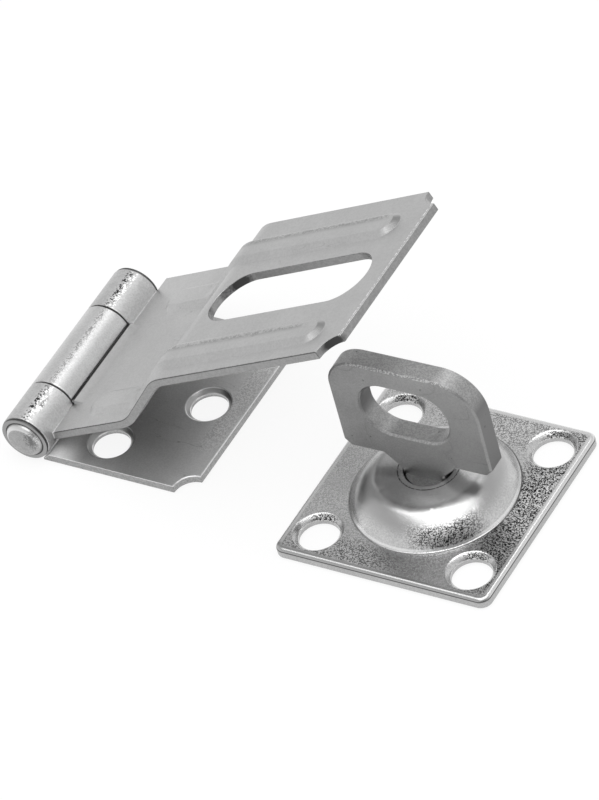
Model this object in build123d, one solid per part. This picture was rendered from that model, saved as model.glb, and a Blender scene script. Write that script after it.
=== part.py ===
from build123d import *
import math
import os

os.makedirs("parts", exist_ok=True)

# Sizes in millimetres. The hinge axis runs along Y. While a piece is drawn, x = 0 lies under the
# axis, y = 0 is the leaf's front edge and z = 0 is the wall face that leaf and plate lie on.

# Leaf, folded from one sheet.
LEAF_SHEET = 1.55
LEAF_WIDTH = 38.1
LEAF_REACH = 31.95
LEAF_NOTCH_X = 2.4
LEAF_NOTCH_GAP = 0.25
LEAF_CORNER_SCOOP_R = 3.45
LEAF_HOLE_R = 3.25
LEAF_SINK_R = 4.05
LEAF_PAIR_X = 12.62
LEAF_PAIR_SPACING = 25.8
LEAF_SINGLE_X = 24.63
LEAF_CURL_END_DEG = 17.0
LEAF_CURL_END_ROUND = 0.35

# Hinge pin and the three knuckles around it.
PIN_R = 2.95
PIN_RUNNING_GAP = 0.05
PIN_FLANGE_R = 4.4
PIN_FLANGE_THICK = 0.5
PIN_BOSS_R = 3.8
PIN_BOSS_THICK = 0.45
PIN_BEVEL_THICK = 0.35
PIN_FACE_R = 2.66
PIN_END_GAP = 0.1
KNUCKLE_FRONT_Y = 0.1
KNUCKLE_FRONT_LONG = 8.8
KNUCKLE_GAP = 0.3
KNUCKLE_MIDDLE_LONG = 19.0
KNUCKLE_BACK_LONG = 9.1
KNUCKLE_R = PIN_R + LEAF_SHEET
AXIS_Z = KNUCKLE_R

# Arm, folded from one sheet. Its own z is counted from the hinge axis.
ARM_SHEET = 1.5
ARM_REST_DEG = 25.4
ARM_FRONT_Y = 1.9
ARM_WIDTH = 39.0
ARM_REACH = 77.75
ARM_OVER_LEAF_GAP = 0.15
ARM_CURL_END_DEG = 300.0
ARM_CREASE_DEG = -17.0
ARM_EAR_END_DEG = -52.0
ARM_NOTCH_GAP = 0.25
ARM_LIP_TALL = 0.8
ARM_LIP_DEEP = 2.9
ARM_SHOULDER_X = 4.3
JOGGLE_START_X = 22.6
JOGGLE_END_X = 34.71
JOGGLE_RISE = 7.05
JOGGLE_LOW_R = 6.8
JOGGLE_HIGH_R = 7.0
SLOT_FROM_JOGGLE = 1.69
SLOT_TO_ARM_END = 4.85
SLOT_WIDTH = 11.6
SLOT_MIDDLE_Y = 21.3
ARM_CORNER_SCOOP_R = 3.5
BEAD_FRONT_Y = 7.7
BEAD_BACK_Y = 33.5
BEAD_START_X = 13.4
BEAD_TO_ARM_END = 8.75
BEAD_FOOT_HALF = 3.1
BEAD_CREST_HALF = 1.9
BEAD_TALL = 0.8
BEAD_UNDER_NARROWER = 0.5
BEAD_SUNK = 0.4

# Staple plate with its hollow dome.
PLATE_X = 72.31
PLATE_Y = 12.57
PLATE_SIDE = 40.4
PLATE_SHEET = 1.9
PLATE_CORNER_R = 1.9
PLATE_EDGE_BREAK = 0.45
PLATE_HOLE_SPACING = 28.9
PLATE_HOLE_R = 3.45
PLATE_SINK_R = 4.3
DOME_R = 14.35
DOME_FOOT_DEG = 62.0
DOME_SHOULDER_R = 9.0
DOME_SHOULDER_Z = 7.0
DOME_SIDE_RUNS = 5
DOME_CROWN_R = 5.0
DOME_CROWN_Z = 7.35
DOME_HOLE_R = 4.3
HOLLOW_FOOT_R = 12.9
HOLLOW_FOOT_Z = 1.2
HOLLOW_CEILING_R = 8.6
HOLLOW_CEILING_Z = 5.4

# Swivel eye, its shank and the washer that keeps it in the dome.
EYE_THICK = 4.0
EYE_TURN_DEG = 1.0
EYE_LEFT = -14.0
EYE_RIGHT = 13.7
EYE_TOP_Z = 30.5
EYE_BOTTOM_Z = 10.6
EYE_TOP_LEFT_R = 6.0
EYE_TOP_RIGHT_R = 7.5
EYE_BOTTOM_CORNER = 1.3
EYE_SLOT_LEFT = -8.7
EYE_SLOT_RIGHT = 7.5
EYE_SLOT_LOW_Z = 15.6
EYE_SLOT_HIGH_Z = 26.4
EYE_SLOT_CORNER_R = 5.0
EYE_EDGE_BREAK = 0.35
NECK_TOP_HALF = 6.7
NECK_LOW_Z = 7.9
SHANK_GAP = 0.35
SHANK_TOP_Z = 6.8
WASHER_R = 6.6
WASHER_THICK = 1.0
WASHER_DOME_GAP = 0.2
WASHER_SHANK_GAP = 0.1
RIVET_R = 5.2
RIVET_TALL = 1.4
RIVET_BREAK = 0.6

# Everything is stored about the middle of the leaf's pair of screw holes, on the wall face.
STORE = Pos(-LEAF_PAIR_X, -LEAF_WIDTH / 2, 0)

# Places along the hinge, front to back.
front_end = KNUCKLE_FRONT_Y + KNUCKLE_FRONT_LONG
middle_start = front_end + KNUCKLE_GAP
middle_end = middle_start + KNUCKLE_MIDDLE_LONG
back_start = middle_end + KNUCKLE_GAP
back_end = back_start + KNUCKLE_BACK_LONG


def along_y(face, y_from, y_to):
    """A face drawn with x across and y up becomes a solid from one depth to another."""
    standing = Plane.XZ * face
    return Pos(0, y_from, 0) * extrude(standing, amount=-(y_to - y_from))


def polygon(*points):
    """A face with straight sides."""
    return make_face(Polyline(*points, close=True))


def polar(radius, degrees):
    """A point on a circle about the hinge axis."""
    angle = math.radians(degrees)
    return (radius * math.cos(angle), radius * math.sin(angle))


def curl(inner, outer, start_deg, end_deg):
    """The end view of a sheet rolled around the axis from one angle to another."""
    sweep_deg = end_deg - start_deg
    outside = CenterArc((0, 0), outer, start_deg, sweep_deg)
    inside = CenterArc((0, 0), inner, start_deg, sweep_deg)
    start_cut = Line(polar(inner, start_deg), polar(outer, start_deg))
    end_cut = Line(polar(inner, end_deg), polar(outer, end_deg))
    return make_face([outside, end_cut, inside, start_cut])


def sunk_hole(hole_r, sink_r, top_z, x, y):
    """The cutter of a hole with a ninety degree countersink."""
    depth = sink_r - hole_r
    clear = 1.0
    shape = polygon(
        (0, top_z - 12),
        (hole_r, top_z - 12),
        (hole_r, top_z - depth),
        (sink_r, top_z),
        (sink_r + clear, top_z + clear),
        (0, top_z + clear),
    )
    return Pos(x, y, 0) * revolve(Plane.XZ * shape, axis=Axis.Z)


def post(radius, z_from, z_to, x, y):
    """An upright round bar."""
    return Pos(x, y, (z_from + z_to) / 2) * Cylinder(radius, z_to - z_from)


# The leaf: flat sheet, concave free corners, three sunk holes and the rolled middle knuckle.
leaf_side = polygon((0, 0), (LEAF_REACH, 0), (LEAF_REACH, LEAF_SHEET), (0, LEAF_SHEET))
leaf_flat = along_y(leaf_side, 0, LEAF_WIDTH)
notch_side = polygon((0, 0), (LEAF_NOTCH_X, 0), (LEAF_NOTCH_X, LEAF_SHEET), (0, LEAF_SHEET))
notch_side += Pos(0, AXIS_Z) * Circle(KNUCKLE_R + LEAF_NOTCH_GAP)
leaf_flat -= along_y(notch_side, 0, middle_start)
leaf_flat -= along_y(notch_side, middle_end, LEAF_WIDTH)
leaf_curl_view = curl(PIN_R, KNUCKLE_R, LEAF_CURL_END_DEG, 270)
leaf_curl_tip = leaf_curl_view.vertices().sort_by_distance(Vector(*polar(KNUCKLE_R, LEAF_CURL_END_DEG), 0))[0]
leaf_curl_view = fillet(leaf_curl_tip, LEAF_CURL_END_ROUND)
leaf_curl = Pos(0, 0, AXIS_Z) * along_y(leaf_curl_view, middle_start, middle_end)
hasp_leaf = leaf_flat + leaf_curl
for scoop_y in (0, LEAF_WIDTH):
    hasp_leaf -= post(LEAF_CORNER_SCOOP_R, -1, LEAF_SHEET + 1, LEAF_REACH, scoop_y)
for hole_y in (-LEAF_PAIR_SPACING / 2, LEAF_PAIR_SPACING / 2):
    hasp_leaf -= sunk_hole(LEAF_HOLE_R, LEAF_SINK_R, LEAF_SHEET, LEAF_PAIR_X, LEAF_WIDTH / 2 + hole_y)
hasp_leaf -= sunk_hole(LEAF_HOLE_R, LEAF_SINK_R, LEAF_SHEET, LEAF_SINGLE_X, LEAF_WIDTH / 2)

# The pin: a plain shaft with a flange and a bevelled boss formed at each end of the barrel.
front_face = KNUCKLE_FRONT_Y - PIN_END_GAP
back_face = back_end + PIN_END_GAP
flange = PIN_FLANGE_THICK
boss = flange + PIN_BOSS_THICK
tip = boss + PIN_BEVEL_THICK
pin_view = polygon(
    (0, front_face - tip),
    (PIN_FACE_R, front_face - tip),
    (PIN_BOSS_R, front_face - boss),
    (PIN_BOSS_R, front_face - flange),
    (PIN_FLANGE_R, front_face - flange),
    (PIN_FLANGE_R, front_face),
    (PIN_R, front_face),
    (PIN_R, back_face),
    (PIN_FLANGE_R, back_face),
    (PIN_FLANGE_R, back_face + flange),
    (PIN_BOSS_R, back_face + flange),
    (PIN_BOSS_R, back_face + boss),
    (PIN_FACE_R, back_face + tip),
    (0, back_face + tip),
)
hinge_pin = Pos(0, 0, AXIS_Z) * revolve(pin_view, axis=Axis.Y)

# The arm is drawn lying flat about the hinge axis and tilted up at the end.
arm_curl_inner = PIN_R + PIN_RUNNING_GAP
arm_low_z = LEAF_SHEET + ARM_OVER_LEAF_GAP - AXIS_Z
arm_top_z = arm_low_z + ARM_SHEET
arm_back_y = ARM_FRONT_Y + ARM_WIDTH
joggle_angle = math.atan2(JOGGLE_RISE, JOGGLE_END_X - JOGGLE_START_X)
miter = math.tan(joggle_angle / 2)
bead_end_x = ARM_REACH - BEAD_TO_ARM_END
slot_start_x = JOGGLE_END_X + SLOT_FROM_JOGGLE
slot_end_x = ARM_REACH - SLOT_TO_ARM_END


def joggle_line(depth, start_x, end_x):
    """The sheet's side view, a given depth under its top face: flat, bend, ramp, bend, flat."""
    low_z = arm_top_z - depth
    high_z = low_z + JOGGLE_RISE
    low_corner = JOGGLE_START_X + depth * miter
    high_corner = JOGGLE_END_X + depth * miter
    low_run = (JOGGLE_LOW_R + depth) * miter
    high_run = (JOGGLE_HIGH_R - depth) * miter
    run_x = math.cos(joggle_angle)
    run_z = math.sin(joggle_angle)
    a = (start_x, low_z)
    b = (low_corner - low_run, low_z)
    c = (low_corner + low_run * run_x, low_z + low_run * run_z)
    d = (high_corner - high_run * run_x, high_z - high_run * run_z)
    e = (high_corner + high_run, high_z)
    f = (end_x, high_z)
    first = Line(a, b)
    low_bend = TangentArc(b, c, tangent=(1, 0))
    ramp = Line(c, d)
    high_bend = TangentArc(d, e, tangent=(run_x, run_z))
    last = Line(e, f)
    return [first, low_bend, ramp, high_bend, last]


plate_top = joggle_line(0, ARM_SHOULDER_X, ARM_REACH)
plate_under = joggle_line(ARM_SHEET, ARM_SHOULDER_X, ARM_REACH)
arm_high_z = arm_top_z + JOGGLE_RISE
near_edge = Line((ARM_SHOULDER_X, arm_top_z), (ARM_SHOULDER_X, arm_low_z))
far_edge = Line((ARM_REACH, arm_high_z), (ARM_REACH, arm_high_z - ARM_SHEET))
hasp_arm = along_y(make_face(plate_top + [far_edge] + plate_under + [near_edge]), ARM_FRONT_Y, arm_back_y)

# Each outer knuckle turns up from the flat in a short bend and rolls over the pin.
crease = polar(KNUCKLE_R, ARM_CREASE_DEG)
root = polar(arm_curl_inner, ARM_CREASE_DEG)
bend_r = root[1] - arm_low_z
bend_view = make_face(
    [
        Line(root, crease),
        Line(crease, (ARM_SHOULDER_X + 1, arm_top_z)),
        Line((ARM_SHOULDER_X + 1, arm_top_z), (ARM_SHOULDER_X + 1, arm_low_z)),
        Line((ARM_SHOULDER_X + 1, arm_low_z), (root[0] + bend_r, arm_low_z)),
        CenterArc((root[0] + bend_r, root[1]), bend_r, 180, 90),
    ]
)
roll_view = curl(arm_curl_inner, KNUCKLE_R, ARM_CREASE_DEG, ARM_CURL_END_DEG)
knuckle_view = roll_view + bend_view
hasp_arm += along_y(knuckle_view, ARM_FRONT_Y, front_end)
hasp_arm += along_y(knuckle_view, back_start, back_end)
ear_view = curl(arm_curl_inner, KNUCKLE_R, ARM_EAR_END_DEG, ARM_CURL_END_DEG)
hasp_arm += along_y(ear_view, KNUCKLE_FRONT_Y, ARM_FRONT_Y + 0.01)

# Between them the sheet's edge stands up a little and follows the middle knuckle's curve.
notch_r = KNUCKLE_R + ARM_NOTCH_GAP
lip_view = polygon(
    (ARM_SHOULDER_X - 1, arm_low_z),
    (ARM_SHOULDER_X + 1, arm_low_z),
    (ARM_SHOULDER_X + ARM_LIP_DEEP, arm_top_z),
    (notch_r, arm_top_z + ARM_LIP_TALL),
    (ARM_SHOULDER_X - 1, arm_top_z + ARM_LIP_TALL),
)
lip = along_y(lip_view, front_end, back_start)
round_room = along_y(Circle(notch_r), front_end, back_start)
hasp_arm = (hasp_arm + lip) - round_room


# Two raised beads run along the arm over the joggle, hollow underneath as pressed sheet is.
def bead_view(foot_half, crest_half, tall, sunk):
    """Half of a bead's cross-section."""
    return polygon((0, -sunk), (foot_half, -sunk), (foot_half, 0), (crest_half, tall), (0, tall))


def bead(depth, foot_half, crest_half, tall, sunk, middle_y):
    """A bead that follows the sheet, a given depth under its top face, with round ends."""
    path = Plane.XZ * Wire(joggle_line(depth, BEAD_START_X, bead_end_x))
    start = Plane(origin=(BEAD_START_X, 0, arm_top_z - depth), x_dir=(0, 1, 0), z_dir=(1, 0, 0))
    half = bead_view(foot_half, crest_half, tall, sunk)
    whole = half + mirror(half, about=Plane.YZ)
    run = sweep(start * whole, path=path)
    near = Pos(BEAD_START_X, 0, arm_top_z - depth) * revolve(Plane.XZ * half, axis=Axis.Z)
    far = Pos(bead_end_x, 0, arm_high_z - depth) * revolve(Plane.XZ * half, axis=Axis.Z)
    return Pos(0, middle_y, 0) * (run + near + far)


groove_foot = BEAD_FOOT_HALF - BEAD_UNDER_NARROWER
groove_crest = BEAD_CREST_HALF - BEAD_UNDER_NARROWER
for bead_y in (BEAD_FRONT_Y, BEAD_BACK_Y):
    hasp_arm += bead(0, BEAD_FOOT_HALF, BEAD_CREST_HALF, BEAD_TALL, BEAD_SUNK, bead_y)
    hasp_arm -= bead(ARM_SHEET, groove_foot, groove_crest, BEAD_TALL, BEAD_SUNK, bead_y)

# The long slot and the concave far corners.
slot_long = slot_end_x - slot_start_x
slot_view = SlotOverall(slot_long, SLOT_WIDTH)
slot_cut = extrude(slot_view, amount=20)
hasp_arm -= Pos((slot_start_x + slot_end_x) / 2, SLOT_MIDDLE_Y, 0) * slot_cut
for scoop_y in (ARM_FRONT_Y, arm_back_y):
    hasp_arm -= post(ARM_CORNER_SCOOP_R, 0, 12, ARM_REACH, scoop_y)
hasp_arm = Pos(0, 0, AXIS_Z) * Rot(0, -ARM_REST_DEG, 0) * hasp_arm

# The staple plate: a square with round corners, four sunk holes and a hollow dome.
# The dome's side follows an arc in a few straight runs.
square = extrude(RectangleRounded(PLATE_SIDE, PLATE_SIDE, PLATE_CORNER_R), amount=PLATE_SHEET)
square = chamfer(square.faces().sort_by(Axis.Z)[-1].edges(), PLATE_EDGE_BREAK)
foot = Vector(DOME_R, PLATE_SHEET, 0)
shoulder = Vector(DOME_SHOULDER_R, DOME_SHOULDER_Z, 0)
chord = shoulder - foot
chord_deg = math.degrees(math.atan2(chord.Y, -chord.X))
bulge = chord.length / 2 * math.tan(math.radians(DOME_FOOT_DEG - chord_deg) / 2)
outward = Vector(chord.Y, -chord.X, 0).normalized()
crown = (foot + shoulder) * 0.5 + outward * bulge
side = ThreePointArc(foot, crown, shoulder)
side_points = [side @ (run / DOME_SIDE_RUNS) for run in range(DOME_SIDE_RUNS + 1)]
dome_view = polygon(
    *side_points,
    (DOME_CROWN_R, DOME_CROWN_Z),
    (0, DOME_CROWN_Z),
    (0, 0),
    (DOME_R, 0),
)
hollow_view = polygon(
    (0, -1),
    (HOLLOW_FOOT_R, -1),
    (HOLLOW_FOOT_R, HOLLOW_FOOT_Z),
    (HOLLOW_CEILING_R, HOLLOW_CEILING_Z),
    (0, HOLLOW_CEILING_Z),
)
dome = revolve(Plane.XZ * dome_view, axis=Axis.Z)
hollow = revolve(Plane.XZ * hollow_view, axis=Axis.Z)
staple_plate = (square + dome) - hollow - post(DOME_HOLE_R, -1, 12, 0, 0)
half_spacing = PLATE_HOLE_SPACING / 2
for hole_x in (-half_spacing, half_spacing):
    for hole_y in (-half_spacing, half_spacing):
        staple_plate -= sunk_hole(PLATE_HOLE_R, PLATE_SINK_R, PLATE_SHEET, hole_x, hole_y)
staple_plate = Pos(PLATE_X, PLATE_Y, 0) * staple_plate

# The swivel eye: a thick plate on edge with a slot, its neck, shank and riveted end.
shank_r = DOME_HOLE_R - SHANK_GAP
eye_outline = polygon(
    (EYE_LEFT, EYE_BOTTOM_Z + EYE_BOTTOM_CORNER),
    (EYE_LEFT, EYE_TOP_Z),
    (EYE_RIGHT, EYE_TOP_Z),
    (EYE_RIGHT, EYE_BOTTOM_Z + EYE_BOTTOM_CORNER),
    (EYE_RIGHT - EYE_BOTTOM_CORNER, EYE_BOTTOM_Z),
    (NECK_TOP_HALF, EYE_BOTTOM_Z),
    (shank_r, NECK_LOW_Z),
    (shank_r, SHANK_TOP_Z - 1),
    (-shank_r, SHANK_TOP_Z - 1),
    (-shank_r, NECK_LOW_Z),
    (-NECK_TOP_HALF, EYE_BOTTOM_Z),
    (EYE_LEFT + EYE_BOTTOM_CORNER, EYE_BOTTOM_Z),
)
top_corners = eye_outline.vertices().group_by(Axis.Y)[-1].sort_by(Axis.X)
eye_outline = fillet(top_corners[0], EYE_TOP_LEFT_R)
top_right = eye_outline.vertices().sort_by_distance(Vector(EYE_RIGHT, EYE_TOP_Z, 0))[0]
eye_outline = fillet(top_right, EYE_TOP_RIGHT_R)
eye_slot_wide = EYE_SLOT_RIGHT - EYE_SLOT_LEFT
eye_slot_tall = EYE_SLOT_HIGH_Z - EYE_SLOT_LOW_Z
eye_slot = Pos((EYE_SLOT_LEFT + EYE_SLOT_RIGHT) / 2, (EYE_SLOT_LOW_Z + EYE_SLOT_HIGH_Z) / 2) * RectangleRounded(
    eye_slot_wide, eye_slot_tall, EYE_SLOT_CORNER_R
)
eye_plate = along_y(eye_outline - eye_slot, -EYE_THICK / 2, EYE_THICK / 2)
eye_plate = chamfer(eye_plate.faces().filter_by(Axis.Y).edges(), EYE_EDGE_BREAK)
washer_top_z = HOLLOW_CEILING_Z - WASHER_DOME_GAP
washer_low_z = washer_top_z - WASHER_THICK
rivet_low_z = washer_low_z - RIVET_TALL
shank = post(shank_r, rivet_low_z + RIVET_BREAK, SHANK_TOP_Z, 0, 0)
rivet = post(RIVET_R, rivet_low_z, washer_low_z, 0, 0)
rivet = chamfer(rivet.faces().sort_by(Axis.Z)[0].edges(), RIVET_BREAK)
swivel_eye = eye_plate + shank + rivet
swivel_eye = Pos(PLATE_X, PLATE_Y, 0) * Rot(0, 0, EYE_TURN_DEG) * swivel_eye

# The washer under the dome, carried by the riveted end.
washer = post(WASHER_R, washer_low_z, washer_top_z, 0, 0)
washer -= post(shank_r + WASHER_SHANK_GAP, 0, 12, 0, 0)
retaining_washer = Pos(PLATE_X, PLATE_Y, 0) * washer

export_step(STORE * hasp_leaf, "parts/hasp_leaf.step")
export_step(STORE * hasp_arm, "parts/hasp_arm.step")
export_step(STORE * hinge_pin, "parts/hinge_pin.step")
export_step(STORE * staple_plate, "parts/staple_plate.step")
export_step(STORE * swivel_eye, "parts/swivel_eye.step")
export_step(STORE * retaining_washer, "parts/retaining_washer.step")
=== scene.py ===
import math

import bmesh
import bpy
from mathutils import Matrix, Vector


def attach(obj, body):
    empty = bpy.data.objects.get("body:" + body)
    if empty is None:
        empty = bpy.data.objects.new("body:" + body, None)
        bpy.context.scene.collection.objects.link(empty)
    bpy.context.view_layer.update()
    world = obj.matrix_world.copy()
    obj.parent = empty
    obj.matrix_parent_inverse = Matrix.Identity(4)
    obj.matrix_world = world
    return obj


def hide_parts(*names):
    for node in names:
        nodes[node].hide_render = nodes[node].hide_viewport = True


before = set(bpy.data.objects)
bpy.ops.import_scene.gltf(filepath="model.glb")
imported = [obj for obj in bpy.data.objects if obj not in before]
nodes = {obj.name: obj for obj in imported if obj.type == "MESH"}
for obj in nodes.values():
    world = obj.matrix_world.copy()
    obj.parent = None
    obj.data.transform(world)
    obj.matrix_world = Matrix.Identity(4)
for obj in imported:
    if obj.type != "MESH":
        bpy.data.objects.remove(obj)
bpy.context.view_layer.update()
scene = bpy.context.scene
scene.view_settings.view_transform = "Standard"
MM = 0.001

# Camera. Its place and turn come from fitting the plate, the leaf and the hinge to the
# photograph, which looks down on them from the front right through a long lens.
camera_place = Vector((549.03, -608.07, 744.10)) * MM
camera_right = Vector((0.85395, 0.47803, -0.20556)).normalized()
camera_back = Vector((0.47661, -0.56001, 0.67766)).normalized()
camera_up = camera_back.cross(camera_right)
camera_data = bpy.data.cameras.new("camera")
camera_data.lens = 294.318
camera_data.sensor_width = 36.0
camera_data.clip_start = 0.1
camera_data.clip_end = 10.0
camera = bpy.data.objects.new("camera", camera_data)
scene.collection.objects.link(camera)
camera_turn = Matrix((camera_right, camera_up, camera_back)).transposed().to_4x4()
camera.matrix_world = Matrix.Translation(camera_place) @ camera_turn
scene.camera = camera

# Room. The metal mirrors an even pale room that is greyer half way up, and has one dark
# patch low in front, under the camera. The camera itself sees plain white.
class Wires:
    """A node tree with short ways to add a node and to join two sockets."""

    def __init__(self, tree):
        self.tree = tree

    def node(self, kind, inputs=None, **settings):
        """A new node with its settings made and its inputs fed."""
        node = self.tree.nodes.new(kind)
        for name, value in settings.items():
            setattr(node, name, value)
        for name, value in (inputs or {}).items():
            self.feed(node.inputs[name], value)
        return node

    def feed(self, socket, value):
        """Links a socket to another one, or sets it to a plain value."""
        if isinstance(value, bpy.types.NodeSocket):
            self.tree.links.new(value, socket)
        else:
            socket.default_value = value

    def math(self, operation, *values):
        """One step of arithmetic."""
        node = self.node("ShaderNodeMath", operation=operation)
        for socket, value in zip(node.inputs, values):
            self.feed(socket, value)
        return node.outputs["Value"]

    def remap(self, value, low, high, to_low=0.0, to_high=1.0, kind="LINEAR"):
        """Takes low to to_low and high to to_high, and holds the ends."""
        node = self.node("ShaderNodeMapRange", interpolation_type=kind)
        names = ("Value", "From Min", "From Max", "To Min", "To Max")
        for name, number in zip(names, (value, low, high, to_low, to_high)):
            self.feed(node.inputs[name], number)
        return node.outputs["Result"]

    def ramp(self, value, stops):
        """A grey that follows a value. The first two stops are its two ends."""
        node = self.node("ShaderNodeValToRGB", {"Fac": value})
        elements = node.color_ramp.elements
        for index, (position, level) in enumerate(stops):
            stop = elements[index] if index < 2 else elements.new(position)
            stop.position = position
            stop.color = (level, level, level, 1)
        return node.outputs["Color"]

    def both(self, *masks):
        """Where all masks are."""
        whole = masks[0]
        for mask in masks[1:]:
            whole = self.math("MULTIPLY", whole, mask)
        return whole

    def either(self, *masks):
        """Where one of the masks is."""
        whole = masks[0]
        for mask in masks[1:]:
            whole = self.math("MAXIMUM", whole, mask)
        return whole

    def outside(self, mask):
        """Where a mask isn't."""
        return self.math("SUBTRACT", 1.0, mask)

    def radius(self, first, second):
        """Distance from an axis, across two coordinates."""
        squares = [self.math("MULTIPLY", value, value) for value in (first, second)]
        return self.math("SQRT", self.math("ADD", *squares))


wall_ends = [(0.0, 0.84), (1.0, 1.0)]
wall_stops = [(0.15, 0.86), (0.42, 0.78), (0.64, 0.58), (0.74, 0.60), (0.88, 1.0)]
across_way, front_way = (0.766, 0.643, 0.0), (0.643, -0.766, 0.0)
patch_across, patch_half_width = 0.10, 0.62
patch_up, patch_half_height = 0.36, 0.24
patch_core, patch_rim, patch_grey = 0.55, 1.15, 0.22
world = bpy.data.worlds.new("world")
scene.world = world
world.use_nodes = True
world.node_tree.nodes.clear()
w = Wires(world.node_tree)
way = w.node("ShaderNodeTexCoord").outputs["Generated"]
height = w.node("ShaderNodeSeparateXYZ", {"Vector": way}).outputs["Z"]
walls = w.ramp(height, wall_ends + wall_stops)
across = w.node("ShaderNodeVectorMath", {0: way, 1: across_way}, operation="DOT_PRODUCT")
front = w.node("ShaderNodeVectorMath", {0: way, 1: front_way}, operation="DOT_PRODUCT")
off_middle = w.math("SUBTRACT", across.outputs["Value"], patch_across)
wide = w.math("DIVIDE", off_middle, patch_half_width)
tall = w.math("DIVIDE", w.math("SUBTRACT", height, patch_up), patch_half_height)
reach = w.radius(wide, tall)
patch = w.remap(reach, patch_core, patch_rim, patch_grey, 1.0, "SMOOTHSTEP")
ahead = w.math("GREATER_THAN", front.outputs["Value"], 0.0)
patch = w.math("ADD", w.both(patch, ahead), w.outside(ahead))
room = w.node("ShaderNodeMix", data_type="RGBA", blend_type="MULTIPLY")
for name, value in (("Factor", 1.0), ("A", walls), ("B", patch)):
    w.feed(room.inputs[name], value)
mirrored = w.node("ShaderNodeBackground", {"Color": room.outputs["Result"], "Strength": 1.0})
white = w.node("ShaderNodeBackground", {"Color": (1, 1, 1, 1), "Strength": 1.0})
seen = w.node("ShaderNodeLightPath").outputs["Is Camera Ray"]
mix = w.node("ShaderNodeMixShader", {0: seen, 1: mirrored.outputs[0], 2: white.outputs[0]})
w.node("ShaderNodeOutputWorld", {"Surface": mix.outputs["Shader"]})

# Light: one wide soft box overhead, to the right of the hinge and turned to the middle of
# the set.
overhead_data = bpy.data.lights.new("overhead", "AREA")
overhead_data.shape = "SQUARE"
overhead_data.size = 520 * MM
overhead_data.energy = 1.35
overhead = bpy.data.objects.new("overhead", overhead_data)
scene.collection.objects.link(overhead)
overhead.location = Vector((95, -30, 430)) * MM
aim = Vector((40, 0, 0)) * MM - overhead.location
overhead.rotation_euler = aim.to_track_quat("-Z", "Y").to_euler()

# Floor: a plain pale sheet just under the part. It shows white to the camera and in the
# metal, and keeps a faint shadow.
floor_width, floor_drop = 3.0, 0.0002
paper_white = (0.94, 0.94, 0.94, 1)
glow_share = 0.88
bpy.ops.mesh.primitive_plane_add(size=floor_width, location=(0, 0, -floor_drop))
floor = bpy.context.object
floor.name = "floor"
paper = bpy.data.materials.new("paper")
paper.use_nodes = True
w = Wires(paper.node_tree)
matte = paper.node_tree.nodes["Principled BSDF"]
matte.inputs["Base Color"].default_value = paper_white
matte.inputs["Roughness"].default_value = 1.0
matte.inputs["Specular IOR Level"].default_value = 0.0
ray = w.node("ShaderNodeLightPath")
looks = ("Is Camera Ray", "Is Glossy Ray", "Is Transmission Ray")
shown = w.either(*[ray.outputs[name] for name in looks])
glow = w.node("ShaderNodeEmission", {"Color": (1, 1, 1, 1), "Strength": 1.0})
layers = {0: w.both(shown, glow_share), 1: matte.outputs[0], 2: glow.outputs[0]}
mix = w.node("ShaderNodeMixShader", layers)
w.feed(paper.node_tree.nodes["Material Output"].inputs["Surface"], mix.outputs["Shader"])
floor.data.materials.append(paper)

# Rounded edges. Sheet that is cut, folded and plated has no sharp edges, so each piece gets
# a small round on every edge, shaded smooth across it.
flat_deg, fold_deg, smooth_deg = 1.5, 28.0, 42.0
soft = bpy.data.node_groups.new("smooth_shading", "GeometryNodeTree")
soft.interface.new_socket("Geometry", in_out="INPUT", socket_type="NodeSocketGeometry")
soft.interface.new_socket("Geometry", in_out="OUTPUT", socket_type="NodeSocketGeometry")
w = Wires(soft)
whole = w.node("NodeGroupInput").outputs[0]
plain = w.node("GeometryNodeRemoveAttribute", {"Geometry": whole, "Name": "custom_normal"})
smooth = w.node("GeometryNodeSetShadeSmooth", {"Geometry": plain.outputs["Geometry"]})
turned = w.node("GeometryNodeInputMeshEdgeAngle").outputs["Unsigned Angle"]
limit = {0: turned, 1: math.radians(smooth_deg)}
gentle = w.node("FunctionNodeCompare", limit, data_type="FLOAT", operation="LESS_THAN")
smooth_faces = {"Geometry": smooth.outputs["Geometry"]}
folds = w.node("GeometryNodeSetShadeSmooth", smooth_faces, domain="EDGE")
w.feed(folds.inputs["Shade Smooth"], gentle.outputs["Result"])
w.node("NodeGroupOutput", {0: folds.outputs["Geometry"]})


def round_edges(piece, width_mm, clamped):
    """Small rounds of a given width on every edge sharper than a fold."""
    weld = piece.modifiers.new("weld", "WELD")
    weld.merge_threshold = 0.001 * MM
    flat = piece.modifiers.new("flat", "DECIMATE")
    flat.decimate_type = "DISSOLVE"
    flat.angle_limit = math.radians(flat_deg)
    bevel = piece.modifiers.new("bevel", "BEVEL")
    bevel.width = width_mm * MM
    bevel.segments = 3
    bevel.use_clamp_overlap = clamped
    bevel.limit_method = "ANGLE"
    bevel.angle_limit = math.radians(fold_deg)
    shade = piece.modifiers.new("shade", "NODES")
    shade.node_group = soft
    normals = piece.modifiers.new("normals", "WEIGHTED_NORMAL")
    normals.keep_sharp = True

# Grain: the fine frost of plated sheet, a few tenths of a millimetre across. It gives a
# light and dark speckle about one half, and a height for the bump.
def effect(name, inputs, outputs):
    """An empty shader group with the given sockets, its wires and its two ends."""
    group = bpy.data.node_groups.new(name, "ShaderNodeTree")
    for socket_name, kind, value in inputs:
        socket_type = "NodeSocket" + kind
        socket = group.interface.new_socket(socket_name, in_out="INPUT", socket_type=socket_type)
        if value is not None:
            socket.default_value = value
    for socket_name in outputs:
        group.interface.new_socket(socket_name, in_out="OUTPUT", socket_type="NodeSocketFloat")
    wires = Wires(group)
    given = wires.node("NodeGroupInput").outputs
    result = wires.node("NodeGroupOutput").inputs
    return group, wires, given, result


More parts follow.
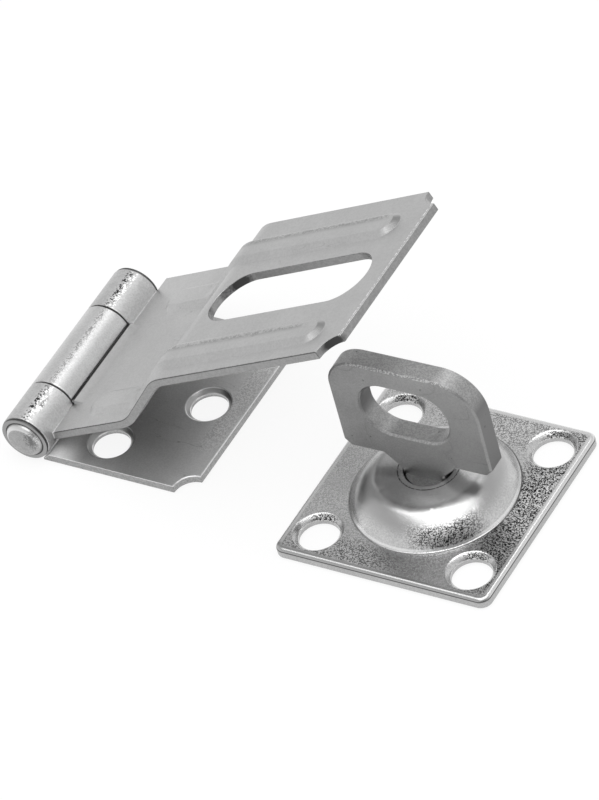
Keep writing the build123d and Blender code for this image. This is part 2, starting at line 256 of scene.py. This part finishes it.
grain_sockets = [("Vector", "Vector", None), ("Size mm", "Float", 0.3)]
grain, w, given, result = effect("plating_grain", grain_sockets, ["Speckle", "Height"])
per_metre = w.math("DIVIDE", 1 / MM, given["Size mm"])
spread = {"Vector": given["Vector"], "Scale": per_metre}
fine = w.node("ShaderNodeTexNoise", {**spread, "Detail": 2.0, "Roughness": 0.7}).outputs["Fac"]
cells = w.node("ShaderNodeTexVoronoi", spread)
tints = w.node("ShaderNodeSeparateXYZ", {"Vector": cells.outputs["Color"]}).outputs
w.feed(result["Speckle"], w.math("ADD", w.both(fine, 0.6), w.both(tints["X"], 0.4)))
w.feed(result["Height"], w.math("ADD", fine, w.both(tints["Y"], 0.5)))

# Mottle: broad faint clouds in the plating, with a few thin scratches across them in three
# directions. Each set of scratches has its turn in degrees, its stretch and its shift.
scratch_sets = ((20, 9.0, 0.0), (-50, 12.0, 3.1), (75, 10.0, 7.7))
scratch_width = 0.006
mottle_sockets = [("Vector", "Vector", None)]
mottle, w, given, result = effect(
    "mottle_and_scratches", mottle_sockets, ["Clouds", "Scratches"]
)
cloudy = {"Vector": given["Vector"], "Scale": 140.0, "Detail": 4.0, "Roughness": 0.6}
broad = w.node("ShaderNodeTexNoise", cloudy)
w.feed(result["Clouds"], w.remap(broad.outputs["Fac"], 0.3, 0.7))
marks = 0.0
for turn_deg, stretch, shift in scratch_sets:
    lay = w.node(
        "ShaderNodeMapping",
        {
            "Vector": given["Vector"],
            "Location": (shift, shift, shift),
            "Rotation": (0.0, 0.0, math.radians(turn_deg)),
            "Scale": (1.0, stretch, 1.0),
        },
    ).outputs["Vector"]
    line = w.node("ShaderNodeTexNoise", {"Vector": lay, "Scale": 75.0, "Detail": 1.0})
    where = w.node("ShaderNodeTexNoise", {"Vector": lay, "Scale": 33.0, "Detail": 1.0})
    near = w.math("ABSOLUTE", w.math("SUBTRACT", line.outputs["Fac"], 0.5))
    thin = w.remap(near, 0.0, scratch_width, 1.0, 0.0)
    marks = w.either(marks, w.both(thin, w.remap(where.outputs["Fac"], 0.60, 0.68)))
w.feed(result["Scratches"], marks)

# Spangle: dots of bright and of dark metal, as sharp as the frost itself, where a mask is.
# A dark dot is where the speckle is low, and a bright one where it is high.
spangle_sockets = [
    ("Level", "Float", 0.5),
    ("Speckle", "Float", 0.5),
    ("Mask", "Float", 0.0),
    ("Dark", "Float", 0.1),
    ("Bright", "Float", 0.9),
]
spangle, w, given, result = effect("spangle", spangle_sockets, ["Level"])
dark_dot = w.both(w.remap(given["Speckle"], 0.505, 0.46), given["Mask"])
bright_dot = w.both(w.remap(given["Speckle"], 0.52, 0.56), given["Mask"])
dimmed = w.remap(dark_dot, 0.0, 1.0, given["Level"], given["Dark"])
w.feed(result["Level"], w.remap(bright_dot, 0.0, 1.0, dimmed, given["Bright"]))

# Finishes. Every piece is steel, plated with zinc or left satin, so all of them share the
# same frost, clouds, scratches and dots, each with its own greys.
class Metal(Wires):
    """Plated steel in the making: a material's wires, its shader, the shared effects, and
    coordinates in millimetres from an origin, which may be tilted with the piece."""

    def __init__(self, name, roughness, grain_mm, origin, tilt_deg=0.0):
        self.material = bpy.data.materials.new(name)
        self.material.use_nodes = True
        super().__init__(self.material.node_tree)
        self.shader = self.tree.nodes["Principled BSDF"]
        self.shader.inputs["Metallic"].default_value = 1.0
        self.shader.inputs["Roughness"].default_value = roughness
        source = self.node("ShaderNodeTexCoord").outputs
        frost = {"Vector": source["Object"], "Size mm": grain_mm}
        self.grain = self.node("ShaderNodeGroup", frost, node_tree=grain).outputs
        self.speckle = self.grain["Speckle"]
        cloudy = {"Vector": source["Object"]}
        self.mottle = self.node("ShaderNodeGroup", cloudy, node_tree=mottle).outputs
        start = {"Vector": source["Object"], "Location": tuple(-MM * v for v in origin)}
        moved = self.node("ShaderNodeMapping", start).outputs["Vector"]
        turn = (0.0, math.radians(tilt_deg), 0.0)
        laid = {"Vector": moved, "Rotation": turn, "Scale": (1 / MM, 1 / MM, 1 / MM)}
        faced = {"Vector": source["Normal"], "Rotation": turn}
        self.place = self.node("ShaderNodeMapping", laid).outputs["Vector"]
        facing = self.node("ShaderNodeMapping", faced).outputs["Vector"]
        self.x, self.y, self.z = self.parts(self.place)
        self.nx, self.ny, self.nz = self.parts(facing)

    def parts(self, vector):
        """The three numbers of a vector."""
        return self.node("ShaderNodeSeparateXYZ", {"Vector": vector}).outputs

    def unsigned(self, value):
        """A value without its sign."""
        return self.math("ABSOLUTE", value)

    def ragged(self, value, size):
        """A value shaken by the grain."""
        return self.math("ADD", value, self.remap(self.speckle, 0.35, 0.65, -size, size))

    def band(self, value, low, high, soft=0.3):
        """One between two limits, falling to nought over a soft border."""
        rise = self.remap(value, low - soft, low + soft, 0.0, 1.0, "SMOOTHSTEP")
        fall = self.remap(value, high - soft, high + soft, 1.0, 0.0, "SMOOTHSTEP")
        return self.both(rise, fall)

    def patch(self, middle, half, soft=0.4, rough=0.0):
        """A soft-edged ellipsoid about a middle, with a ragged border."""
        spot = {
            "Vector": self.place,
            "Location": tuple(-centre / size for centre, size in zip(middle, half)),
            "Scale": tuple(1.0 / size for size in half),
        }
        out = {0: self.node("ShaderNodeMapping", spot).outputs["Vector"]}
        far = self.node("ShaderNodeVectorMath", out, operation="LENGTH").outputs["Value"]
        edge = self.ragged(far, rough)
        return self.remap(edge, 1.0 - soft, 1.0 + soft, 1.0, 0.0, "SMOOTHSTEP")

    def toward(self, level, target, mask):
        """Moves a level to a target where a mask is."""
        return self.remap(mask, 0.0, 1.0, level, target)

    def spangled(self, level, mask, dark=0.08, bright=0.95):
        """Bright and dark dots where a mask is."""
        dots = {"Level": level, "Speckle": self.speckle, "Mask": mask}
        dots.update({"Dark": dark, "Bright": bright})
        return self.node("ShaderNodeGroup", dots, node_tree=spangle).outputs["Level"]

    def plated(self, level, clouds, speck, scratch):
        """A plain plated level with its clouds, its fine speckle and its scratches."""
        clouded = self.math("ADD", level, self.both(self.mottle["Clouds"], clouds))
        specked = self.ragged(clouded, speck)
        return self.math("SUBTRACT", specked, self.both(self.mottle["Scratches"], scratch))

    def finish(self, level, bump_mm, roughness=None):
        """Joins a grey level, a bump and a roughness to the shader."""
        grey = {"Red": level, "Green": level, "Blue": level}
        colour = self.node("ShaderNodeCombineColor", grey)
        self.feed(self.shader.inputs["Base Color"], colour.outputs["Color"])
        relief = {"Strength": 1.0, "Distance": bump_mm * MM, "Height": self.grain["Height"]}
        bump = self.node("ShaderNodeBump", relief)
        self.feed(self.shader.inputs["Normal"], bump.outputs["Normal"])
        if roughness is not None:
            self.feed(self.shader.inputs["Roughness"], roughness)
        return self.material


def wear(piece, material, round_mm, clamped=True):
    """Gives a node its finish and its rounded edges."""
    for slot in piece.material_slots:
        slot.material = material
    round_edges(piece, round_mm, clamped)


# Arm: the hinged strap, one plated sheet with two pressed beads, bent in a joggle and rolled
# into the outer knuckles. Its cut faces are greyer with a painted shade line along their corner,
# and its knuckles are specked. Its coordinates start at the hinge's front end and lie in the
# arm's flat.
hinge = (-12.62, -19.05, 4.5)
tilt_deg = 25.4
front_y, back_y, end_x = 1.9, 40.9, 77.75
slot_front_y, slot_back_y = 15.5, 27.1
bore_r, knuckle_r = 2.0, 4.7
joggle_grey, flat_grey, knuckle_grey = 0.57, 0.50, 0.54
cut_grey, slope_grey, bright_grey = 0.33, 0.30, 0.95
corner_shade_grey, outline_shade_grey, burnish_grey, gap_shade_grey, speck_grey = 0.13, 0.12, 0.06, 0.05, 0.03
bead_lines, bead_start_x, bead_shade = ((8.5, 69.0), (34.5, 71.5)), 21.5, 0.21
arm = Metal("arm_zinc", roughness=0.45, grain_mm=0.28, origin=hinge, tilt_deg=tilt_deg)
base = arm.remap(arm.x, 12.0, 26.0, joggle_grey, flat_grey)
level = arm.plated(base, clouds=0.035, speck=0.02, scratch=0.10)
out_r = arm.radius(arm.x, arm.z)
knuckles = arm.band(out_r, bore_r, knuckle_r, 0.1)

# Its cut faces, the painted shade line along the corner beside them, the painted shade on the
# back of the two beads and on the slopes of their far ends.
side = arm.either(arm.unsigned(arm.ny), arm.unsigned(arm.nx))
lip = arm.both(arm.band(arm.y, 2.5, 35.5), arm.remap(arm.x, 9.0, 8.0))
upright = arm.remap(side, 0.82, 0.95, kind="SMOOTHSTEP")
cut = arm.both(upright, arm.outside(arm.either(knuckles, lip)))
front_edge = arm.band(arm.y, front_y - 0.5, front_y + 0.8)
slot_edges = arm.band(arm.y, slot_front_y - 1.5, slot_back_y + 1.4)
back_edge = arm.band(arm.y, back_y - 0.8, back_y + 0.6)
edges = arm.either(front_edge, slot_edges, back_edge)
# Painted shade: a dark line on the rounded corner between the flat and its cut faces.
rounded = arm.band(arm.unsigned(arm.ny), 0.25, 0.88, 0.08)
corner_shade = arm.both(rounded, edges, arm.outside(knuckles))
# Painted shade: a dark speckled line on the back flank of each bead.
line = 0.0
for bead_y, bead_end_x in bead_lines:
    near = arm.band(arm.ragged(arm.y, 0.3), bead_y - 0.2, bead_y + 0.5, 0.6)
    fade = arm.band(arm.x, bead_start_x, bead_end_x - 2.0, 2.0)
    line = arm.either(line, arm.both(near, fade, arm.remap(arm.speckle, 0.62, 0.42, 0.45, 1.0)))
level = arm.math("SUBTRACT", level, arm.both(line, bead_shade))
# Painted shade on the slopes at the far ends of the beads, which dims their highlight.
sloped = arm.band(arm.nx, 0.40, 0.80, 0.10)
bead_end_shade = arm.both(sloped, arm.band(arm.x, 60.0, 76.0), arm.remap(arm.nz, 0.4, 0.6))
level = arm.toward(level, slope_grey, bead_end_shade)
level = arm.toward(level, arm.ragged(cut_grey, 0.03), cut)
broken = arm.remap(arm.speckle, 0.4, 0.6, 0.85, 0.6)
level = arm.toward(level, corner_shade_grey, arm.both(corner_shade, broken))

# Its front edge's painted shade outline, the bright burr of its far end and two burnished marks.
# Painted shade: a dark outline along the front edge, past the knuckles.
along_front = arm.remap(arm.ragged(arm.y, 0.03), front_y + 0.24, front_y + 0.12)
past_knuckle = arm.remap(out_r, 4.8, 5.4)
front_edge_shade = arm.both(along_front, arm.remap(arm.nz, 0.15, 0.35), past_knuckle)
level = arm.toward(level, outline_shade_grey, arm.both(front_edge_shade, 0.85))
far_edge = arm.band(arm.x, end_x - 0.55, end_x - 0.33, 0.08)
burr = arm.both(far_edge, arm.remap(arm.speckle, 0.50, 0.56))
level = arm.toward(level, bright_grey, burr)
end_mark = arm.patch((76.2, 4.4, 5.0), (1.9, 2.4, 1.2), 0.3)
slot_mark = arm.patch((38.8, 26.2, 5.0), (2.6, 1.6, 1.5), 0.4, 0.1)
burnish = arm.both(arm.either(end_mark, slot_mark), arm.remap(side, 0.5, 0.7))
level = arm.toward(level, burnish_grey, burnish)

# Its two knuckles, specked along a streak and in one blot, and painted shade in the gap beside
# the middle knuckle.
# Painted shade: a dark line on the arm in the gap beside the middle knuckle.
gap_shade = arm.both(arm.remap(out_r, 5.15, 5.0), arm.band(arm.y, 9.1, 28.3, 0.2))
level = arm.toward(level, arm.plated(knuckle_grey, 0.05, 0.04, 0.1), knuckles)
turned = arm.math("ARCTAN2", arm.z, arm.x)
streak_from, streak_to = math.radians(72 - tilt_deg), math.radians(84 - tilt_deg)
blot_from, blot_to = math.radians(62 - tilt_deg), math.radians(70 - tilt_deg)
streak = arm.band(arm.ragged(turned, 0.10), streak_from, streak_to, 0.06)
back_part = arm.band(arm.y, 28.5, 37.5, 0.8)
front_part = arm.band(arm.y, 0.2, 8.4, 0.8)
clouded = arm.remap(arm.mottle["Clouds"], 0.2, 0.5)
blot = arm.band(turned, blot_from, blot_to, 0.05)
blot = arm.both(blot, arm.band(arm.y, 3.0, 6.0, 0.8), clouded)
streaked = arm.both(streak, arm.either(back_part, front_part))
specks = arm.both(knuckles, arm.either(streaked, arm.both(blot, 0.7)))
level = arm.spangled(level, specks, dark=speck_grey)
level = arm.toward(level, gap_shade_grey, gap_shade)
wear(nodes["hasp_arm"], arm.finish(level, bump_mm=0.003), round_mm=0.15, clamped=False)

# Leaf: the fixed sheet, screwed down through its countersinks and rolled into the middle
# knuckle. It is duller, with painted light near the hinge, a painted highlight on its rounded
# front edge, painted shade in its countersinks and a grainy strip along its free edge, and its
# knuckle is brighter and finely specked along its top.
bore_r, knuckle_r = 2.0, 4.8
leaf_grey, hinge_painted_light, edge_lift = 0.55, 0.12, 0.20
cut_grey, countersink_shade_grey, knuckle_grey, painted_rim_grey = 0.34, 0.42, 0.60, 0.95
leaf_roughness, hinge_patch_roughness, hinge_patch_metallic = 0.38, 0.60, 0.1
leaf = Metal("leaf_zinc", roughness=leaf_roughness, grain_mm=0.2, origin=hinge)
# Painted light near the hinge: the sheet there is lighter.
near_hinge = leaf.remap(leaf.x, 11.0, 4.5, kind="SMOOTHSTEP")
near_edge = leaf.remap(leaf.x, 20.0, 30.0)
tone = leaf.math("ADD", leaf_grey, leaf.both(near_hinge, hinge_painted_light))
tone = leaf.math("ADD", tone, leaf.both(near_edge, edge_lift))
level = leaf.plated(tone, clouds=0.06, speck=0.03, scratch=0.22)
knuckle = leaf.band(leaf.radius(leaf.x, leaf.z), bore_r, knuckle_r, 0.1)
sheet = leaf.outside(knuckle)
strip = leaf.band(leaf.ragged(leaf.x, 0.4), 27.8, 31.4, 0.5)
strip = leaf.both(strip, leaf.band(leaf.y, 10.0, 38.0, 3.0), leaf.remap(leaf.nz, 0.8, 0.95))
level = leaf.spangled(level, leaf.both(strip, 0.35), dark=0.35)
# Painted highlight on the rounded edges of the sheet.
rim = leaf.band(leaf.unsigned(leaf.ny), 0.25, 0.70, 0.1)
level = leaf.toward(level, painted_rim_grey, leaf.both(rim, sheet))
# Painted shade on the sloped walls of the countersinks.
cone = leaf.both(leaf.band(leaf.nz, 0.60, 0.80, 0.05), leaf.band(leaf.x, 6.0, 29.0), sheet)
level = leaf.toward(level, countersink_shade_grey, leaf.both(cone, leaf.band(leaf.y, 1.5, 36.5)))
cut = leaf.both(leaf.remap(leaf.nz, 0.25, 0.10), sheet)
level = leaf.toward(level, leaf.ragged(cut_grey, 0.06), cut)
level = leaf.toward(level, leaf.plated(knuckle_grey, 0.06, 0.04, 0.1), knuckle)
turned = leaf.math("ARCTAN2", leaf.z, leaf.x)
streak = leaf.band(leaf.ragged(turned, 0.12), math.radians(70), math.radians(80), 0.08)
streak = leaf.both(streak, knuckle)
level = leaf.spangled(level, leaf.both(streak, 0.6), dark=0.12, bright=0.75)
# The painted light near the hinge also makes the sheet there less metallic and rougher.
hinge_light_patch = leaf.both(near_hinge, sheet)
metallic = leaf.remap(hinge_light_patch, 0.0, 1.0, 1.0, hinge_patch_metallic)
leaf.feed(leaf.shader.inputs["Metallic"], metallic)
roughness = leaf.remap(hinge_light_patch, 0.0, 1.0, leaf_roughness, hinge_patch_roughness)
leaf_zinc = leaf.finish(level, bump_mm=0.004, roughness=roughness)
wear(nodes["hasp_leaf"], leaf_zinc, round_mm=0.2)

# Pin: a steel pin through the knuckles, with a flange, a fine groove and a rounded boss formed
# at each end. It is turned from one profile and stands for the plain pin of the frame.
def turned_body(name, profile, middle):
    """A smooth round body about an axis along y, from its radii and places in millimetres."""
    around = 96
    mesh = bpy.data.meshes.new(name)
    build = bmesh.new()
    rings = []
    for radius, place in profile:
        ring = []
        for step in range(around if radius else 1):
            angle = math.tau * step / around
            spot = Vector((math.cos(angle) * radius, place, math.sin(angle) * radius))
            ring.append(build.verts.new((spot + Vector(middle)) * MM))
        rings.append(ring)
    for first, second in zip(rings, rings[1:]):
        for step in range(around):
            corners = [first[step % len(first)], first[(step + 1) % len(first)]]
            corners += [second[(step + 1) % len(second)], second[step % len(second)]]
            build.faces.new(dict.fromkeys(corners))
    bmesh.ops.recalc_face_normals(build, faces=build.faces)
    for face in build.faces:
        face.smooth = True
    build.to_mesh(mesh)
    build.free()
    body = bpy.data.objects.new(name, mesh)
    scene.collection.objects.link(body)
    return body


pin_length = 37.7
boss = [(0, -1.28), (1.6, -1.27), (2.4, -1.20), (2.85, -1.06), (3.15, -0.84), (3.34, -0.58)]
groove = [(3.42, -0.36), (3.50, -0.30), (3.60, -0.36), (3.80, -0.48)]
flange = [(4.15, -0.46), (4.33, -0.36), (4.40, -0.20), (4.38, -0.02), (2.95, 0)]
head = boss + groove + flange
profile = head + [(radius, pin_length - place) for radius, place in reversed(head)]
pin_body = turned_body("pin_with_heads", profile, hinge)
steel_grey, shoulder_highlight_grey, flange_grey = 0.33, 0.75, 0.34
painted_rim_grey, groove_shade_grey, blot_grey = 0.08, 0.05, 0.10
pin = Metal("pin_steel", roughness=0.36, grain_mm=0.22, origin=hinge)
level = pin.plated(steel_grey, clouds=0.10, speck=0.04, scratch=0.05)
out_r = pin.radius(pin.x, pin.z)
# Painted highlight on the shoulder of the boss, brightest along its top.
shoulder_highlight = pin.both(pin.band(out_r, 2.7, 3.35, 0.15), pin.remap(pin.z, -1.0, 1.5, 0.1, 1.0))
level = pin.toward(level, shoulder_highlight_grey, shoulder_highlight)
level = pin.toward(level, flange_grey, pin.band(out_r, 3.62, 4.3, 0.1))
# Painted shade: a dark line at the flange's outer edge and in the fine groove.
level = pin.toward(level, painted_rim_grey, pin.remap(out_r, 4.30, 4.36))
level = pin.toward(level, groove_shade_grey, pin.band(out_r, 3.42, 3.60, 0.05))
blot = pin.patch((2.1, -1.3, 0.9), (0.9, 1.0, 1.3), 0.6, 0.5)
level = pin.toward(level, blot_grey, pin.both(blot, 0.7))
pin_body.data.materials.append(pin.finish(level, bump_mm=0.005))
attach(pin_body, "leaf_and_plate")
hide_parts("hinge_pin")

# Staple plate: a square plated sheet, screwed down at its corners, with a hollow dome pressed
# up in its middle. Its flat has a bright and dark spangle, darkest along its right side, and
# its dome is smoother.
dome = (59.69, -6.48, 0.0)
dome_r, crown_r, hole_at = 14.35, 8.6, 14.45
plate_grey, right_grey, wall_grey = 0.60, 0.24, 0.42
painted_rim_grey, front_rim_highlight_grey, corner_shade_grey = 0.80, 0.50, 0.12
slope_grey, crown_grey, ring_grey = 0.50, 0.62, 0.08
bright_grey, seam_shade_grey = 0.95, 0.10
plate = Metal("plate_zinc", roughness=0.27, grain_mm=0.165, origin=dome)
level = plate.plated(plate_grey, clouds=0.08, speck=0.07, scratch=0.06)
out_r = plate.radius(plate.x, plate.y)
from_middle = plate.either(plate.unsigned(plate.x), plate.unsigned(plate.y))

# Its flat, frosted in faint clouds and more along the right, front and back sides, and the
# painted highlight on its rim.
flat = plate.both(plate.remap(out_r, 14.3, 14.6), plate.remap(plate.nz, 0.9, 0.99))
right_side = plate.patch((17.5, 0.5, 2.0), (4.8, 16.0, 9.0), 0.5, 0.3)
front_side = plate.patch((-9.0, -17.5, 2.0), (9.0, 2.6, 9.0), 0.6, 0.3)
back_side = plate.patch((6.0, 17.0, 2.0), (12.0, 4.0, 9.0), 0.5, 0.3)
frost = plate.remap(plate.mottle["Clouds"], 0.2, 0.9, 0.03, 0.20)
sides = (right_side, plate.both(front_side, 0.65), plate.both(back_side, 0.5))
frost = plate.both(plate.either(frost, *sides), plate.remap(from_middle, 19.2, 18.9))
level = plate.toward(level, right_grey, plate.both(right_side, flat, 0.8))
level = plate.spangled(level, plate.both(frost, flat), dark=0.01, bright=0.92)
# Painted highlight along the rounded rim, dimmer along the front.
rim = plate.remap(from_middle, 19.0, 19.25)
level = plate.toward(level, painted_rim_grey, rim)
level = plate.toward(level, front_rim_highlight_grey, plate.both(rim, plate.remap(plate.y, -18.2, -18.8)))

# Its dome: a dull crown, a dark ring about the eye's neck, a painted reflection of the room's
# dark patch on its right front, and a painted highlight and a painted shade line where it meets
# the flat.
level = plate.toward(level, slope_grey, plate.band(out_r, 8.0, 12.5, 1.0))
crown = plate.band(plate.ragged(out_r, 0.15), 0.0, crown_r, 0.5)
level = plate.toward(level, plate.plated(crown_grey, 0.06, 0.04, 0.05), crown)
pitted = plate.remap(plate.grain["Height"], 0.62, 0.72)
level = plate.toward(level, ring_grey, plate.both(plate.band(out_r, 5.15, 5.35, 0.08), pitted))
# Painted reflection of the room's dark patch, as dark and bright dots on the right front.
toward_front = plate.math("SUBTRACT", plate.both(plate.x, 0.62), plate.both(plate.y, 0.785))
facing = plate.math("DIVIDE", toward_front, out_r)
skirt = plate.band(plate.ragged(out_r, 0.35), 11.7, 13.9, 0.4)
shaded = plate.both(skirt, plate.remap(plate.ragged(facing, 0.03), 0.84, 0.95))
level = plate.spangled(level, shaded, dark=0.01, bright=0.80)
# Painted highlight at the dome's foot, and painted shade in the crease beside it on the flat.
foot_highlight = plate.band(out_r, dome_r - 0.33, dome_r - 0.07, 0.06)
level = plate.toward(level, bright_grey, plate.both(foot_highlight, 0.7))
seam_shade = plate.band(out_r, dome_r + 0.03, dome_r + 0.25, 0.06)
seam_shade = plate.both(seam_shade, plate.remap(plate.x, 0.0, 10.0, 0.45, 0.9))
level = plate.toward(level, seam_shade_grey, seam_shade)

# Its countersinks, frosted dark on their far side, and its cut faces with a painted shade line
# along their corner.
for hole_x in (-hole_at, hole_at):
    for hole_y in (-hole_at, hole_at):
        cone = plate.patch((hole_x - 1.0, hole_y + 3.6, 1.5), (2.2, 1.0, 1.2), 0.5, 0.3)
        cone = plate.both(cone, plate.remap(plate.nz, 0.9, 0.8))
        level = plate.spangled(level, cone, dark=0.05, bright=0.8)
# Painted shade: a dark line along the corner between the rim and the cut faces.
corner_shade = plate.both(plate.band(plate.nz, 0.15, 0.50, 0.06), rim)
level = plate.toward(level, corner_shade_grey, corner_shade)
wall = plate.remap(plate.nz, 0.3, 0.1)
level = plate.toward(level, plate.plated(wall_grey, 0.05, 0.04, 0.0), wall)
wear(nodes["staple_plate"], plate.finish(level, bump_mm=0.006), round_mm=0.28)

# Swivel eye: a flat loop of darker satin steel on a round shank that turns in the dome. It
# has small pits, a grainy top with painted light on it, painted shade on its left and right
# edges and a specked corner along its front.
left_grey, right_grey = 0.22, 0.29
side_shade_grey, top_light_grey, chamfer_grey, pit_grey = 0.18, 0.36, 0.75, 0.08
eye = Metal("eye_steel", roughness=0.42, grain_mm=0.18, origin=dome)
base = eye.remap(eye.x, -10.0, 2.0, left_grey, right_grey)
level = eye.plated(base, clouds=0.05, speck=0.02, scratch=0.05)
# Painted shade on the edges facing left and right, and painted light on the faces turned up.
level = eye.toward(level, side_shade_grey, eye.remap(eye.unsigned(eye.nx), 0.7, 0.9))
upper = eye.remap(eye.nz, 0.25, 0.6)
level = eye.toward(level, top_light_grey, upper)
level = eye.spangled(level, eye.both(upper, 0.22), dark=0.15, bright=0.6)
chamfer = eye.band(eye.unsigned(eye.ny), 0.35, 0.85, 0.1)
dotted = eye.remap(eye.speckle, 0.50, 0.56)
chamfer = eye.both(chamfer, dotted, eye.remap(eye.unsigned(eye.nx), 0.35, 0.15))
slot_side = eye.both(eye.band(eye.x, -8.0, 8.0), eye.band(eye.z, 14.0, 26.5))
strength = eye.math("SUBTRACT", 0.6, eye.both(slot_side, 0.5))
level = eye.toward(level, chamfer_grey, eye.both(chamfer, strength))
pits = eye.node("ShaderNodeTexVoronoi", {"Vector": eye.place, "Scale": 0.35})
pit = eye.remap(pits.outputs["Distance"], 0.06, 0.10, 1.0, 0.0)
level = eye.toward(level, pit_grey, eye.both(pit, eye.remap(eye.speckle, 0.5, 0.6)))
wear(nodes["swivel_eye"], eye.finish(level, bump_mm=0.004), round_mm=0.2)

# Washer: a plain plated ring round the eye's shank, held up under the dome by the shank's
# riveted end.
washer = Metal("washer_steel", roughness=0.4, grain_mm=0.3, origin=dome)
level = washer.plated(0.5, clouds=0.05, speck=0.05, scratch=0.05)
wear(nodes["retaining_washer"], washer.finish(level, bump_mm=0.003), round_mm=0.1)
